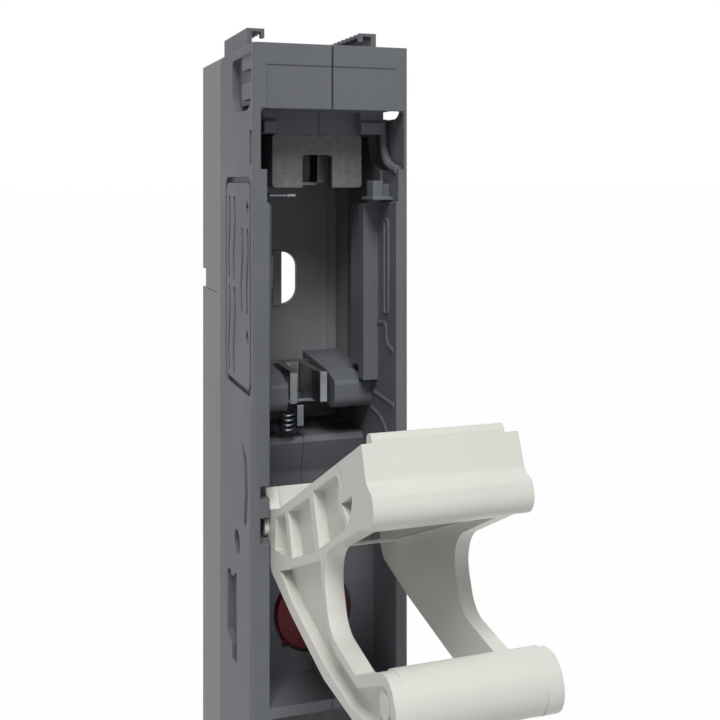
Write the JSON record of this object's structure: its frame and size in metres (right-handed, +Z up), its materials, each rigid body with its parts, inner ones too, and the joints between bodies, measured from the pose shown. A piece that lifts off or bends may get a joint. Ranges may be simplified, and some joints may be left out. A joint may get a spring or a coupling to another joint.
{
  "type": "in-line fuse switch disconnector",
  "caption": "Slim upright fuse switch disconnector for busbars, with hinged lids whose grip bars draw the fuse links; the top lid stands open.",
  "frame": {"origin": "middle busbar bolt hole, on the contact face that lies on the busbar", "axes": "+Z up along the row of poles, +Y back into the busbars, +X to the right seen from the front"},
  "size_m": [0.05, 0.1872, 0.6472],
  "materials": {
    "grey_plastic": "fine matt",
    "dark_plastic": "sparked",
    "light_plastic": "satin",
    "red_plastic": "satin",
    "clear_plastic": "clear",
    "tinned_contact": "tin-plated",
    "spring_steel": "blued",
    "zinc_steel": "zinc-plated"
  },
  "bodies": {
    "housing": {"left_foot": "grey_plastic", "right_foot": "grey_plastic", "base_foot": "grey_plastic", "terminal_cover": "grey_plastic", "left_shell_1": "grey_plastic", "right_shell_1": "grey_plastic", "rear_base_1": "grey_plastic", "contact_guard_1": "dark_plastic", "upper_jaw_1": "tinned_contact", "upper_jaw_spring_1": "spring_steel", "lower_jaw_1": "tinned_contact", "lower_jaw_spring_1": "spring_steel", "contact_carrier_1": "grey_plastic", "contact_strip_1": "tinned_contact", "outgoing_bar_1": "tinned_contact", "red_cap_1": "red_plastic", "terminal_cage_1": "zinc_steel", "terminal_screw_1": "zinc_steel", "left_shell_2": "grey_plastic", "right_shell_2": "grey_plastic", "rear_base_2": "grey_plastic", "contact_guard_2": "dark_plastic", "upper_jaw_2": "tinned_contact", "upper_jaw_spring_2": "spring_steel", "lower_jaw_2": "tinned_contact", "lower_jaw_spring_2": "spring_steel", "contact_carrier_2": "grey_plastic", "contact_strip_2": "tinned_contact", "outgoing_bar_2": "tinned_contact", "red_cap_2": "red_plastic", "terminal_cage_2": "zinc_steel", "terminal_screw_2": "zinc_steel", "left_shell_3": "grey_plastic", "right_shell_3": "grey_plastic", "rear_base_3": "grey_plastic", "contact_guard_3": "dark_plastic", "upper_jaw_3": "tinned_contact", "upper_jaw_spring_3": "spring_steel", "lower_jaw_3": "tinned_contact", "lower_jaw_spring_3": "spring_steel", "contact_carrier_3": "grey_plastic", "contact_strip_3": "tinned_contact", "outgoing_bar_3": "tinned_contact", "red_cap_3": "red_plastic", "terminal_cage_3": "zinc_steel", "terminal_screw_3": "zinc_steel"},
    "lid_body_1": {"lid_1": "light_plastic", "test_window_1": "clear_plastic"},
    "lid_body_2": {"lid_2": "light_plastic", "test_window_2": "clear_plastic"},
    "lid_body_3": {"lid_3": "light_plastic", "test_window_3": "clear_plastic"}
  },
  "joints": [
    {"name": "lid_hinge_1", "type": "hinge", "parent": "housing", "child": "lid_body_1", "pos_m": [0, -0.07725, 0.22025], "axis": [-1, 0, 0], "range_deg": [0, 67.5]},
    {"name": "lid_hinge_2", "type": "hinge", "parent": "housing", "child": "lid_body_2", "pos_m": [0, -0.07725, 0.03525], "axis": [1, 0, 0], "range_deg": [0, 67.5]},
    {"name": "lid_hinge_3", "type": "hinge", "parent": "housing", "child": "lid_body_3", "pos_m": [0, -0.07725, -0.14975], "axis": [1, 0, 0], "range_deg": [0, 67.5]}
  ]
}
